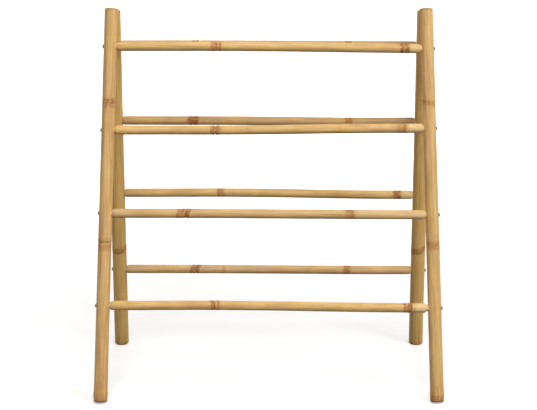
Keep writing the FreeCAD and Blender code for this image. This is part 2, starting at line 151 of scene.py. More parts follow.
NODE_MASKS = ("Stain", "Dark", "Pale", "Relief")
NODE_SLOTS = (1, 2, 3)
RUNG_RADIUS = 0.01225
NO_SMUDGE = (0.5, 1.0, 0.0)
# Skin of each culm: its colour, how warm and how green its streaks are, and for a rung the place as a share,
# the reach in mm and the strength of a darker grey smudge
POLE_TONES = {
    ("front", "left"): ("gold", 0.75, 0.35),
    ("front", "right"): ("gold", 0.6, 0.55),
    ("rear", "left"): ("rear_gold", 0.25, 0.6),
    ("rear", "right"): ("rear_gold", 0.25, 0.6),
}
RUNG_TONES = {
    ("front", "bottom"): ("rung_gold", 0.4, 0.3, *NO_SMUDGE),
    ("front", "lower"): ("rung_tan", 0.45, 0.35, *NO_SMUDGE),
    ("front", "upper"): ("rung_gold", 0.45, 0.3, 0.435, 14.0, 0.15),
    ("front", "top"): ("rung_gold", 0.4, 0.3, *NO_SMUDGE),
    ("rear", "bottom"): ("rung_tan", 0.45, 0.4, 0.35, 9.0, 0.35),
    ("rear", "lower"): ("rung_gold", 0.4, 0.4, *NO_SMUDGE),
    ("rear", "upper"): ("darker_rung", 0.45, 0.35, 0.965, 75.0, 0.95),
    ("rear", "top"): ("darker_rung", 0.45, 0.35, 0.95, 120.0, 0.7),
}
# Rise of each rung's natural bend in mm: as one, two and three half waves over its length
RUNG_BENDS = {
    ("front", "bottom"): (2.8, 1.0, -0.2),
    ("front", "lower"): (0.5, 0.5, 0.0),
    ("front", "upper"): (-0.9, -0.7, 0.4),
    ("front", "top"): (2.2, 0.4, -0.1),
    ("rear", "bottom"): (0.2, 0.6, -0.1),
    ("rear", "lower"): (1.9, 1.0, -0.5),
    ("rear", "upper"): (-0.2, 0.9, -0.5),
    ("rear", "top"): (0.6, 0.4, 0.0),
}
# Length and depth of the sanded edge at the rungs' ends, in metres
RUNG_END_ROUNDS = {
    ("front", "left"): (0.011, 0.0034),
    ("front", "right"): (0.008, 0.0038),
    ("rear", "left"): (0.003, 0.0022),
    ("rear", "right"): (0.004, 0.0028),
}
SHORT_END = ("front", "bottom", "right")  # the rung end that stops short

# Places of the rings of a culm's skin, in mm from the foot and from a node
FOOT_STEPS = (6, 9, 12, 15, 18, 21, 24, 27, 30, 34, 39, 45)
NODE_STEPS = (-18, -13, -10, -8, -6.6, -5.6, -4.6, -3.6, -2.4, -1.2, 0, 1.2, 2.4, 3.8, 5.2, 6.8, 8.8, 11.5,
              15, 20)
NODE_CLEAR = 0.024  # plain rings keep this far from a node
# Humps of the skin: middle and spread in mm, and for a node each hump's share of its height
FOOT_HUMP = (20.0, 9.0)
NODE_HUMPS = ((-4.6, 1.7, 0.85), (4.8, 3.0, 1.0), (0.0, 13.0, 0.25))
PINCH_HUMP = (0.0, 1.6)
BUD_UP = 5.5  # height of a bud above the pinch, in mm
BUD_LIFT = 0.7  # against the node's ridge
BUD_REACH = 0.008
BUD_END_ROOM = 0.03  # nodes nearer to an end have no bud
BUD_TURNS = (-0.5, 0.35)  # by turns, in radians from the way that the culm faces
POLE_FACING = (0, -1, 0)
RUNG_FACING = (0, -1, 0.35)
SWELL_SPAN = 0.035  # width of the skin's low swells
SEED_SHIFTS = (0.31, 0.17, 0.53)  # moves the swells from culm to culm
POLE_SWELL_LEVEL, RUNG_SWELL_LEVEL = 0.7, 0.6  # height among the swells of the skin as drawn
POLE_CLOUDING, RUNG_CLOUDING = 0.32, 0.6
POLE_FOOT_STAIN = 0.4
SMOOTH_ANGLE = math.radians(38)
EDGE_STEPS = 5  # rings round a sanded edge
CLOSED_FOOT_SHARE = 0.1  # a node below this share closes the pole's foot
RIM_CHAMFER = 0.0006
HOLLOW_CORE, CUP_FLOOR, CUP_SIDE = 0.4, 0.96, 0.9  # shares of the bore, and of the cup's depth for its side
SKIN_DEPTH = 0.0035  # faces deeper in a pole are cut ones
WELD = 1e-6
FLAT_OVERRUN = 0.05  # the cutters go on past the wood
FLAT_WIDTH = 2.4  # against the pole's radius
SEAT_SINK = 0.0002
SEAT_CUT = 0.01
SEAT_SIDES = 40


class Grain(NamedTuple):
    """Noise drawn out along a piece, and the levels between which it becomes a mask."""

    across: float  # changes per unit of the coordinates
    along: float
    detail: float = 2.0
    roughness: float = 0.5
    low: float = 0.0
    high: float = 0.0  # 0 for plain noise


# Grain of a node's marks, in mm
NODE_GRAINS = (
    Grain(0.09, 0.01),  # waver
    Grain(0.5, 0.12, 3.0, 0.6),  # fray
    Grain(0.2, 0.08, 3.0, 0.6, 0.36, 0.60),  # patch
    Grain(0.2, 0.14, 2.0, 0.6, 0.48, 0.62),  # mottle
    Grain(0.9, 0.5, 2.0, 0.6, 0.40, 0.66),  # speck
    Grain(0.13, 0.11, 0.0),  # rings
)
WAVER, FRAY, TILT, BOW = 6.0, 5.0, 0.08, 0.05  # how far they wander, fray, slant and sag
# Where a band, its halo and its spots fade, as shares of half its width, and their depth
BAND_FADE, HALO_FADE, REACH_FADE = (0.6, 1.15, 1.0), (1.0, 3.2, 0.4), (0.8, 1.4, 1.0)
RIM_AT, REACH_GAIN = 1.5, 5.0  # the pale rim's place, and how soon a shallow band takes spots
# Middle, core and reach of a node's lines
RIM_LINE, PINCH_LINE, EDGE_LINE = (0.5, 0.8, 3.0), (0.0, 0.5, 1.8), (-5.6, 0.4, 1.6)
SCAR_ZONE, SPECK_ZONE = (0.0, 12.0, 17.0), (0.0, 6.0, 12.0)
SCAR_LINE, BUD_LINE = (0.5, 0.012, 0.05), (1.0, 0.08, 0.34)
BUD_SIZE = (5.0, 3.6)  # half its height and half its width
BUD_DEPTH, BUD_FRONT = 0.6, 2.0  # of its outline, and how far before the axis it shows in full
PAST_FADE = (4.0, 18.0)
BAND_FLOOR, PINCH_FLOOR, SPOT_FLOOR, PAST_FLOOR = 0.7, 0.45, 0.6, 0.5
# Share of each mark in a node's stain, dark colour and relief
STAIN_SHARES = {"pinch": 0.5, "edge": 0.25, "spots": 0.4, "scars": 0.7}
DARK_SHARES = {"pinch": 0.45, "bud": 0.4, "spots": 0.5, "scars": 0.3}
RELIEF_SHARES = {"edge": 0.5, "pinch": -0.9, "bud": 0.6, "scars": 0.4, "specks": 0.3}

# The skin, in mm
SKIN_GRAINS = {
    "patches": Grain(0.07, 0.012, 3.0, 0.55, 0.36, 0.66),
    "bands": Grain(0.16, 0.009, 3.0, 0.55, 0.44, 0.68),
    "fine": Grain(0.5, 0.007, 3.0, 0.55, 0.42, 0.68),
    "greens": Grain(0.2, 0.005, 3.0, 0.55, 0.48, 0.70),
    "lights": Grain(0.33, 0.009, 2.0, 0.5, 0.35, 0.68),
    "clouds": Grain(0.035, 0.014, 3.0, 0.55),
    "fibre": Grain(1.5, 0.016, 4.0, 0.6),
    "hair": Grain(5.0, 0.05, 2.0, 0.6),
    "flecks": Grain(0.8, 0.16, 2.0, 0.5, 0.66, 0.74),
    "streaks": Grain(0.14, 0.006, 2.0, 0.5, 0.42, 0.62),
}
SEED_STEPS = (37.0, 61.0, 173.0)  # moves the grain from culm to culm
HONEY_SHARE, FINE_SHARE, FLECK_SHARE = 0.55, 0.6, 0.45
FLECK_CLOUDS = (0.45, 0.6)
SKIN_TONE, SKIN_ROUGHNESS, SKIN_GLOSS = 0.825, 0.36, 0.12
TONE_SHARES = {"lights": 0.16, "fibre": 0.22, "hair": 0.07}
ROUGH_SHARES = {"fibre": 0.12, "clouds": 0.08, "stain": 0.12, "flecks": 0.1}
HEIGHT_SHARES = {"fibre": 0.7, "hair": 0.3}
SMUDGE_FIBRE = (0.3, 0.62, 0.35, 1.0)
MARK_LIMITS = {"Pale": 0.7, "Stain": 0.85, "Dark": 0.75}
FOOT_FADE = (10.0, 90.0)
# Darkening at the sawn ends, full at the foot: partly an end stain, partly painted shade where the pole
# stands on the floor
END_STAIN_SHADE_DEPTHS = (1.0, 0.35)  # of the foot or left end and of the other one
END_STAIN_AND_SHADE, END_DARK_SHADE = (0.0, 16.0, 0.4), (0.6, 9.0, 0.9)  # from and to this far from an end, and its depth
END_FRAY = 2.0

# Cut bamboo, wood and metal, in metres
BUNDLE_STRETCH, BUNDLE_SCALE = (1.0, 1.0, 0.03), 950.0
BUNDLE_DEPTH, BUNDLE_SIZES, BUNDLE_EDGE = 0.006, (0.25, 0.5), (-0.1, 0.1)
CUT_FIBRE, CUT_FIBRE_LEVELS = Grain(900.0, 20.0, 3.0, 0.6), (0.35, 0.7)
BUNDLE_SHARE, CUT_FIBRE_SHARE = 0.75, 0.35
CUT_ROUGHNESS, CUT_FIBRE_ROUGHNESS = 0.6, 0.25
WOOD_BEND = Grain(60.0, 6.0)
WOOD_FIBRE = Grain(1400.0, 30.0, 3.0, 0.6)
WOOD_PORES = Grain(2600.0, 120.0, 1.0, 0.5, 0.62, 0.72)
HEART_OFF, RING_TURNS, RING_BEND, RING_LEVELS = 0.012, 3600.0, 9.0, (-0.2, 1.0)
WOOD_SHARES = {"rings": 0.5, "fibre": 0.35, "pores": 0.3}
WOOD_ROUGHNESS, WOOD_ROUGH_SHARES = 0.5, {"fibre": 0.2, "pores": 0.15}
METAL_CLOUDS, CLOUD_LEVELS = Grain(220.0, 220.0, 3.0, 0.6), (0.35, 0.65)
LINE_NOISE = (3.0, 0.65)  # detail and roughness
METAL_RUBS = Grain(520.0, 520.0, 3.0, 0.6, 0.52, 0.70)
METAL_SHARES = {"clouded": 0.35, "rubbed": 0.45, "lines": 0.2}
METAL_ROUGH_SHARES = {"lines": 0.18, "clouds": 0.1}
# Stretch of the scratches along X, Y and Z, and roughness
OXIDE_FINISH, ZINC_FINISH = ((900.0, 900.0, 900.0), 0.36), ((120.0, 2400.0, 2400.0), 0.3)
# Strength and depth of each finish's relief
SKIN_BUMP, CUT_BUMP, WOOD_BUMP, METAL_BUMP = (0.35, 0.00025), (0.4, 0.0002), (0.3, 0.0002), (0.2, 0.00008)

# The stage
LAMP_PLACES = {
    "top": (0, -3.5, 5.4),
    "right": (4.1, -4.1, 2.6),
    "side": (5.8, -0.5, 2.05),
    "left": (-4.1, -4.1, 2.05),
    "back": (0, 6.0, 2.05),
}
LAMP_SIZE = 2.4
LAMP_AIM = Vector((0, 0, 0.5))
SENSOR_WIDTH = 36
FLOOR_SIZE, FLOOR_DROP = 60, 0.0002
FLOOR_SPECKLE, SPECKLE_SHARE = Grain(3.0, 3.0), 0.06
FLOOR_ROUGHNESS, FLOOR_GLOSS = 0.9, 0.1
FLOOR_GLOW = (0.8, 3.0, 0.42, 1.0)  # from and to this far from the middle, and its strength there
WHITE = (1.0, 1.0, 1.0)


def linear(red, green, blue):
    """A colour picker's 0 to 255 values as the scene's linear ones."""
    shares = (value / 255 for value in (red, green, blue))
    return tuple(s / 12.92 if s <= 0.04045 else ((s + 0.055) / 1.055) ** 2.4 for s in shares)


def colour(name, description, *values):
    """A colour property."""
    return bpy.props.FloatVectorProperty(
        name=name, description=description, subtype="COLOR", size=3, min=0, max=1, default=linear(*values)
    )


def length(name, description, default):
    """A length property in metres."""
    return bpy.props.FloatProperty(
        name=name, description=description, default=default, min=0, precision=5, unit="LENGTH",
        subtype="DISTANCE",
    )


def power(name, description, default):
    """A lamp's power in watts."""
    return bpy.props.FloatProperty(name=name, description=description, default=default, min=0, unit="POWER")


class LadderSizes(bpy.types.PropertyGroup):
    """Sizes of the bamboo's own forms."""

    pole_wall: length("Pole wall", "Thickness of a pole's wall where it is cut open", 0.007)
    end_round: length("End round", "Radius of the sanded edge at a pole's ends", 0.003)
    node_ridge: length("Node ridge", "How far a usual node stands out", 0.0006)
    node_groove: length("Node groove", "Depth of the pinch between a node's two ridges", 0.0011)
    ring_pitch: length("Ring pitch", "Distance between the rings of a culm between its nodes", 0.03)
    unevenness: length("Unevenness", "Height of the low swells on a culm's skin", 0.0005)
    top_bore: length("Top bore", "Depth of the open bore that takes a pole's plug", 0.079)
    closed_cup: length("Closed foot cup", "Depth of the hollow under a pole with a node at its foot", 0.015)
    open_cup: length("Open foot cup", "Depth of the hollow under any other pole", 0.09)
    rung_gap: length("Rung end gap", "Gap between a pole and the rung's end", 0.001)
    short_gap: length("Short end gap", "Gap at the rung end that stops short and shows its dowel", 0.0055)
    short_round: length("Short end round", "Radius of the sanded edge at the short end", 0.0032)
    flat_set: length("Hinge flat", "From the hinge pin to the flat planed on a pole", 0.00445)
    leaf_room: length("Leaf room", "Length of that flat below the pin", 0.0456)
    screw_seat: length("Screw seat", "Radius of the seat sunk for a screw head", 0.0058)
    pole_sides: bpy.props.IntProperty(name="Pole sides", description="Faces round a pole", default=72, min=12)
    rung_sides: bpy.props.IntProperty(name="Rung sides", description="Faces round a rung", default=56, min=12)


class LadderColours(bpy.types.PropertyGroup):
    """Colours of the bamboo, the wood and the metal."""

    gold: colour("Gold", "Usual skin of the front poles", 223, 186, 126)
    honey: colour("Honey", "Deeper yellow patches in the skin", 224, 180, 100)
    rose: colour("Rose", "Warm streaks in the skin", 197, 142, 96)
    olive: colour("Olive", "Greenish streaks in the skin", 190, 160, 96)
    rung_gold: colour("Rung gold", "Usual skin of the brighter rungs", 229, 193, 130)
    rung_tan: colour("Rung tan", "Usual skin of the duller rungs", 220, 187, 140)
    rear_gold: colour("Rear gold", "Usual skin of the rear poles", 230, 187, 116)
    # Darker skin of the rear upper and top rungs, and below a darker grey stretch of a rung
    darker_rung: colour("Darker", "Skin of the rear frame's upper and top rungs", 197, 164, 118)
    # Also the stain at the sawn ends, partly painted shade at the foot
    stain: colour("Node stain", "Red-brown stain at the nodes", 180, 116, 62)
    # Also the dark rim at the sawn ends, painted shade at the foot
    dark_stain_and_shade: colour("Dark stain", "Darkest marks at the nodes", 96, 54, 30)
    # Also the paler skin past a node near a rung's end: partly sanded pale bamboo, partly a painted highlight
    # on the rounded end
    bloom_and_highlight: colour("Bloom and highlight", "Pale lines and skin beside the nodes", 244, 216, 164)
    grey: colour("Grey", "Weathered stretch of a rung", 132, 108, 78)
    cut_bamboo: colour("Cut bamboo", "Sawn ends and planed flats", 224, 194, 138)
    bundle: colour("Bundles", "Fibre bundles in a sawn end", 158, 116, 66)
    dowel: colour("Dowel", "Turned hardwood", 236, 206, 152)
    dowel_grain: colour("Dowel grain", "Grain lines of the turned hardwood", 205, 163, 108)
    screw: colour("Screw", "Dark oxide on the rung screws", 86, 78, 68)
    screw_wear: colour("Screw wear", "Bare steel where the oxide is rubbed", 150, 142, 130)
    zinc: colour("Zinc", "Plated steel of the hinges", 176, 174, 168)
    zinc_dull: colour("Dull zinc", "Clouded plating", 128, 126, 122)


class LadderStage(bpy.types.PropertyGroup):
    """The camera, the lamps and the floor."""

    lens: bpy.props.FloatProperty(
        name="Lens", description="Focal length of the camera", default=80.57, min=1, unit="CAMERA"
    )
    pitch: bpy.props.FloatProperty(
        name="Pitch", description="How far the camera looks down", subtype="ANGLE",
        default=math.radians(10.535),
    )
    camera_at: bpy.props.FloatVectorProperty(
        name="Camera", description="Place of the camera", subtype="TRANSLATION",
        default=(-0.0008, -3.1684, 1.1768),
    )
    frame_shift: bpy.props.FloatProperty(
        name="Shift", description="Lens shift that frames the ladder", default=-0.0801
    )
    top_power: power("Top lamp", "Power of the lamp above and in front", 172)
    right_power: power("Right lamp", "Power of the lamp at the front right", 146)
    side_power: power("Side lamp", "Power of the lamp on the right", 40)
    left_power: power("Left lamp", "Power of the lamp at the front left", 20)
    back_power: power("Back lamp", "Power of the lamp behind", 84)
    room_light: bpy.props.FloatProperty(
        name="Room light", description="Strength of the even light all round", default=0.3, min=0
    )
    floor_tone: colour("Floor", "Paint of the floor", 226, 225, 222)
    floor_bounce: colour("Floor bounce", "Light that the floor throws back", 56, 56, 55)


class Desk:
    """Adds nodes to a tree and wires them, one call for each node."""

    def __init__(self, tree):
        self.tree = tree

    def node(self, kind, **settings):
        """A node with its settings."""
        made = self.tree.nodes.new(kind)
        for name, value in settings.items():
            setattr(made, name, value)
        return made

    def feed(self, socket, value):
        """Links a socket to another one, or sets it."""
        if isinstance(value, bpy.types.NodeSocket):
            self.tree.links.new(value, socket)
        elif socket.type == "RGBA":
            socket.default_value = (*value, 1.0)
        else:
            socket.default_value = value

    def fill(self, sockets, *values):
        """Feeds sockets in turn."""
        for socket, value in zip(sockets, values):
            self.feed(socket, value)

    def math(self, operation, *values):
        """A Math node, or a row of them for more than two values."""
        made = self.node("ShaderNodeMath", operation=operation)
        self.fill(made.inputs, *values[:2])
        return self.math(operation, made.outputs[0], *values[2:]) if values[2:] else made.outputs[0]

    def add(self, *values):
        """The sum of several values."""
        return self.math("ADD", *values) if values[1:] else values[0]

    def times(self, *values):
        """The product of several values."""
        return self.math("MULTIPLY", *values)

    def less(self, value, other):
        """The difference of two values."""
        return self.math("SUBTRACT", value, other)

    def most(self, value, limit):
        """A value held below a limit."""
        return self.math("MINIMUM", value, limit)

    def hypotenuse(self, x, y):
        """The length of two sides at right angles."""
        return self.math("SQRT", self.add(self.times(x, x), self.times(y, y)))

    def weigh(self, parts, shares):
        """The sum of parts, each times its share."""
        return self.add(*(self.times(parts[name], share) for name, share in shares.items()))

    def vector(self, operation, *values):
        """A Vector Math node."""
        made = self.node("ShaderNodeVectorMath", operation=operation)
        self.fill(made.inputs, *values)
        return made.outputs["Value" if operation == "LENGTH" else "Vector"]

    def split(self, vector):
        """The three parts of a vector."""
        made = self.node("ShaderNodeSeparateXYZ")
        self.feed(made.inputs[0], vector)
        return made.outputs

    def join(self, *values):
        """A vector of three values."""
        made = self.node("ShaderNodeCombineXYZ")
        self.fill(made.inputs, *values)
        return made.outputs[0]

    def noise(self, vector, stretch, detail, roughness):
        """Noise over a vector stretched by its own amounts along X, Y and Z."""
        made = self.node("ShaderNodeTexNoise")
        settings = {"Vector": self.vector("MULTIPLY", vector, stretch), "Scale": 1.0, "Detail": detail,
                    "Roughness": roughness}
        for name, value in settings.items():
            self.feed(made.inputs[name], value)
        return made.outputs["Fac"]

    def grain(self, vector, kind):
        """A grain as noise, or as a mask where it has levels."""
        noise = self.noise(vector, (kind.across, kind.across, kind.along), kind.detail, kind.roughness)
        return self.ramp(noise, kind.low, kind.high) if kind.high else noise

    def swing(self, noise, span):
        """Noise about 0, times a span."""
        return self.times(self.less(noise, 0.5), span)

    def ramp(self, value, low, high, start=0.0, end=1.0):
        """A soft step from one level to another."""
        made = self.node("ShaderNodeMapRange", interpolation_type="SMOOTHSTEP")
        self.fill(made.inputs, value, low, high, start, end)
        return made.outputs[0]

    def fade(self, value, low, high, depth=1.0):
        """A soft step down to 0."""
        return self.ramp(value, low, high, depth, 0.0)

    def lift(self, mask, floor):
        """A mask that doesn't fall below a floor."""
        return self.ramp(mask, 0.0, 1.0, floor, 1.0)

    def band(self, value, middle, core, reach):
        """1 within core of a middle, falling to 0 at reach."""
        return self.fade(self.math("ABSOLUTE", self.less(value, middle)), core, reach)

    def mix(self, factor, first, second, blend="MIX"):
        """A colour mix."""
        made = self.node("ShaderNodeMix", data_type="RGBA", blend_type=blend)
        self.fill([made.inputs[index] for index in (0, 6, 7)], factor, first, second)
        return made.outputs[2]

    def group(self, tree, **values):
        """A node group with its inputs fed by name, underscores for spaces."""
        made = self.node("ShaderNodeGroup", node_tree=tree)
        for name, value in values.items():
            self.feed(made.inputs[name.replace("_", " ")], value)
        return made.outputs

    def by_sight(self, hidden, seen):
        """One shader for rays from the camera, in a mirror or through glass, and another for all the rest."""
        path = self.node("ShaderNodeLightPath").outputs
        rays = (path[f"Is {kind} Ray"] for kind in ("Camera", "Glossy", "Transmission"))
        made = self.node("ShaderNodeMixShader")
        self.fill(made.inputs, self.math("MAXIMUM", *rays), hidden, seen)
        return made.outputs[0]


def new_group(name, inputs, outputs):
    """An empty node group, its desk, its input sockets by name and its output sockets."""
    tree = bpy.data.node_groups.new(name, "ShaderNodeTree")
    kinds = {"value": "NodeSocketFloat", "colour": "NodeSocketColor", "vector": "NodeSocketVector"}
    for way, sockets in (("INPUT", inputs), ("OUTPUT", outputs)):
        for socket, kind in sockets.items():
            tree.interface.new_socket(socket, in_out=way, socket_type=kinds[kind])
    desk = Desk(tree)
    given = desk.node("NodeGroupInput").outputs
    return tree, desk, given, desk.node("NodeGroupOutput").inputs


def culm_node_group():
    """One node of a culm: masks for its stain, dark marks, pale skin and painted highlight, and its fine
    relief.
    """
    name = "Culm node"
    if name in bpy.data.node_groups:
        return bpy.data.node_groups[name]
    inputs = dict.fromkeys(("Place", "Grain place", *NODE_PARTS), "vector")
    tree, desk, given, made = new_group(name, inputs, dict.fromkeys(NODE_MASKS, "value"))
    x, y, z = desk.split(given["Place"])
    height, tilt, bud_angle = desk.split(given["Spot"])
    line, blotch, scar = desk.split(given["Marks"])
    rims, beyond, bow = desk.split(given["Paleness"])
    grain_place = given["Grain place"]
    waver, fray, patch, mottle, speck, rings = (desk.grain(grain_place, kind) for kind in NODE_GRAINS)
    cosine = desk.math("COSINE", bud_angle)
    sine = desk.math("SINE", bud_angle)
    facing = desk.add(desk.times(x, cosine), desk.times(y, sine))
    sideways = desk.less(desk.times(y, cosine), desk.times(x, sine))
    along = desk.add(desk.less(z, height), desk.swing(waver, WAVER), desk.times(sideways, tilt, TILT),
                     desk.times(facing, bow, BOW))
    stains, reaches, pales = [], [], []
    for band in ("First", "Second"):
        middle, half, depth = desk.split(given[band])
        off = desk.add(desk.math("ABSOLUTE", desk.less(along, middle)), desk.swing(fray, FRAY))
        inside, halo, reach = (desk.fade(off, desk.times(half, low), desk.times(half, high), most)
                               for low, high, most in (BAND_FADE, HALO_FADE, REACH_FADE))
        stain = desk.add(desk.times(inside, desk.lift(patch, BAND_FLOOR)), desk.times(halo, patch))
        stains.append(desk.times(stain, depth))
        reaches.append(desk.times(reach, desk.most(desk.times(depth, REACH_GAIN), 1.0)))
        pales.append(desk.times(desk.band(desk.less(off, desk.times(half, RIM_AT)), *RIM_LINE), depth))
    bud = desk.hypotenuse(*(desk.times(way, 1 / size)
                            for way, size in zip((desk.less(along, BUD_UP), sideways), BUD_SIZE)))
    marks = {
        "pinch": desk.times(desk.band(along, *PINCH_LINE), desk.lift(patch, PINCH_FLOOR), line),
        "edge": desk.times(desk.band(along, *EDGE_LINE), line),
        "spots": desk.times(mottle, desk.most(desk.add(*reaches), 1.0), desk.lift(speck, SPOT_FLOOR), blotch),
        "scars": desk.times(desk.band(rings, *SCAR_LINE), desk.band(along, *SCAR_ZONE), scar),
        "bud": desk.times(desk.band(bud, *BUD_LINE), desk.ramp(facing, 0.0, BUD_FRONT), blotch, BUD_DEPTH),
        "specks": desk.times(speck, desk.band(along, *SPECK_ZONE)),
    }
    # Paler skin past the node, partly a painted highlight on a rung's rounded end
    past = desk.times(desk.ramp(along, *PAST_FADE), desk.lift(patch, PAST_FLOOR), beyond)
    desk.fill(made, desk.add(*stains, desk.weigh(marks, STAIN_SHARES)), desk.weigh(marks, DARK_SHARES),
              desk.add(desk.times(desk.add(*pales), rims), past), desk.weigh(marks, RELIEF_SHARES))
    return tree


def bamboo_group():
    """The skin of a culm: streaked colour, node marks, smudges, end stain and painted end shade, with
    roughness and relief.
    """
    name = "Bamboo skin"
    if name in bpy.data.node_groups:
        return bpy.data.node_groups[name]
    inputs = {"Position": "vector"}
    inputs |= dict.fromkeys(("Skin", "Honey", "Warm", "Green", "Stain", "Dark", "Pale", "Grey"), "colour")
    inputs |= dict.fromkeys(("Seed", "Length", "Warmth", "Greenness", "Clouding", "Foot stain", "Smudge",
                             "Smudge reach", "Smudge strength"), "value")
    inputs |= {f"{part} {slot}": "vector" for slot in NODE_SLOTS for part in NODE_PARTS}
    outputs = {"Color": "colour", "Roughness": "value", "Height": "value"}
    tree, desk, given, made = new_group(name, inputs, outputs)
    place = desk.vector("SCALE", given["Position"])
    place.node.inputs["Scale"].default_value = 1 / MM
    _, _, z = desk.split(place)
    seed = desk.join(*(desk.times(given["Seed"], step) for step in SEED_STEPS))
    grain_place = desk.vector("ADD", place, seed)
    grains = {kind: desk.grain(grain_place, grain) for kind, grain in SKIN_GRAINS.items()}
    grains["flecks"] = desk.times(grains["flecks"], desk.ramp(grains["clouds"], *FLECK_CLOUDS))
    skin = desk.mix(desk.times(grains["patches"], HONEY_SHARE), given["Skin"], given["Honey"])
    skin = desk.mix(desk.times(grains["greens"], given["Greenness"]), skin, given["Green"])
    skin = desk.mix(desk.times(grains["bands"], given["Warmth"]), skin, given["Warm"])
    skin = desk.mix(desk.times(grains["fine"], given["Warmth"], FINE_SHARE), skin, given["Warm"])
    tone = desk.add(SKIN_TONE, desk.weigh(grains, TONE_SHARES),
                    desk.swing(grains["clouds"], given["Clouding"]))
    skin = desk.mix(1.0, skin, desk.join(tone, tone, tone), "MULTIPLY")
    skin = desk.mix(desk.times(grains["flecks"], FLECK_SHARE), skin, given["Stain"])
    smudge = desk.times(desk.band(z, given["Smudge"], 0.0, given["Smudge reach"]), given["Smudge strength"],
                        desk.ramp(grains["fibre"], *SMUDGE_FIBRE))
    skin = desk.mix(smudge, skin, given["Grey"])
    marks = {mark: [] for mark in NODE_MASKS}
    for slot in NODE_SLOTS:
        parts = {part: given[f"{part} {slot}"] for part in NODE_PARTS}
        node = desk.group(culm_node_group(), Place=place, Grain_place=grain_place, **parts)
        for mark, found in marks.items():
            found.append(node[mark])
    for mark, limit in MARK_LIMITS.items():
        skin = desk.mix(desk.most(desk.add(*marks[mark]), limit), skin, given[mark])
    foot = desk.times(desk.fade(z, *FOOT_FADE), grains["streaks"], given["Foot stain"])
    skin = desk.mix(foot, skin, given["Stain"])
    # Darker towards both sawn ends, full at the foot and a third at the top: partly an end stain, partly
    # painted shade where the pole meets the floor
    fray = desk.times(grains["fibre"], END_FRAY)
    for share, from_end in zip(END_STAIN_SHADE_DEPTHS, (z, desk.less(given["Length"], z))):
        for mark, off, end in (("Stain", from_end, END_STAIN_AND_SHADE), ("Dark", desk.add(from_end, fray), END_DARK_SHADE)):
            skin = desk.mix(desk.fade(off, *end[:2], end[2] * share), skin, given[mark])
    grains["stain"] = desk.most(desk.add(*marks["Stain"]), 1.0)
    desk.fill(made, skin, desk.add(SKIN_ROUGHNESS, desk.weigh(grains, ROUGH_SHARES)),
              desk.add(desk.weigh(grains, HEIGHT_SHARES), *marks["Relief"]))
    return tree


def new_material(name):
    """An empty node material with its desk, its Principled BSDF and its Object coordinates."""
    material = bpy.data.materials.new(name)
    material.use_nodes = True
    material.node_tree.nodes.clear()
    desk = Desk(material.node_tree)
    shader = desk.node("ShaderNodeBsdfPrincipled")
    desk.feed(desk.node("ShaderNodeOutputMaterial").inputs["Surface"], shader.outputs[0])
    return material, desk, shader.inputs, desk.node("ShaderNodeTexCoord").outputs["Object"]


def turned_to(desk, coordinates, start, turn):
    """Coordinates that start at a point and run along a piece's own axis."""
    mapping = desk.node("ShaderNodeMapping", vector_type="TEXTURE")
    for name, value in (("Vector", coordinates), ("Location", start), ("Rotation", turn)):
        desk.feed(mapping.inputs[name], value)
    return mapping.outputs[0]


def coat(desk, surface, tone, roughness, height, bump):
    """Feeds a colour, a roughness and a relief to a surface."""
    relief = desk.node("ShaderNodeBump")
    relief.inputs["Strength"].default_value, relief.inputs["Distance"].default_value = bump
    desk.feed(relief.inputs["Height"], height)
    for name, value in (("Base Color", tone), ("Roughness", roughness), ("Normal", relief.outputs[0])):
        desk.feed(surface[name], value)


def bamboo_material(name, culm, tones, seed, clouding, foot_stain=0.0):
    """The skin of one culm, with its nodes where the culm has them."""
    colours = bpy.context.scene.ladder_colours
    material, desk, surface, coordinates = new_material(name)
    values = {}
    spare = len(NODE_SLOTS) - len(culm.nodes)
    nodes = zip((*culm.nodes, *[NO_NODE] * spare), (*culm.bud_angles, *[0.0] * spare))
    for slot, (node, bud_angle) in zip(NODE_SLOTS, nodes):
        spot = (node.share * culm.length / MM, node.tilt, bud_angle)
        marks = (node.line, node.blotch, node.scar)
        parts = (spot, marks, node.first, node.second, (node.rims, node.beyond, node.bow))
        values |= {f"{part}_{slot}": value for part, value in zip(NODE_PARTS, parts)}
    skin_name, warmth, greenness, smudge, smudge_reach, smudge_strength = tones
    made = desk.group(
        bamboo_group(), Position=turned_to(desk, coordinates, culm.start, culm.turn), Seed=seed,
        Length=culm.length / MM, Skin=getattr(colours, skin_name), Honey=colours.honey, Warm=colours.rose,
        Green=colours.olive, Stain=colours.stain, Dark=colours.dark_stain_and_shade, Pale=colours.bloom_and_highlight,
        Grey=colours.grey, Warmth=warmth, Greenness=greenness, Clouding=clouding, Foot_stain=foot_stain,
        Smudge=smudge * culm.length / MM, Smudge_reach=smudge_reach, Smudge_strength=smudge_strength,
        **values,
    )
    surface["Specular IOR Level"].default_value = SKIN_GLOSS
    coat(desk, surface, made["Color"], made["Roughness"], made["Height"], SKIN_BUMP)
    return material


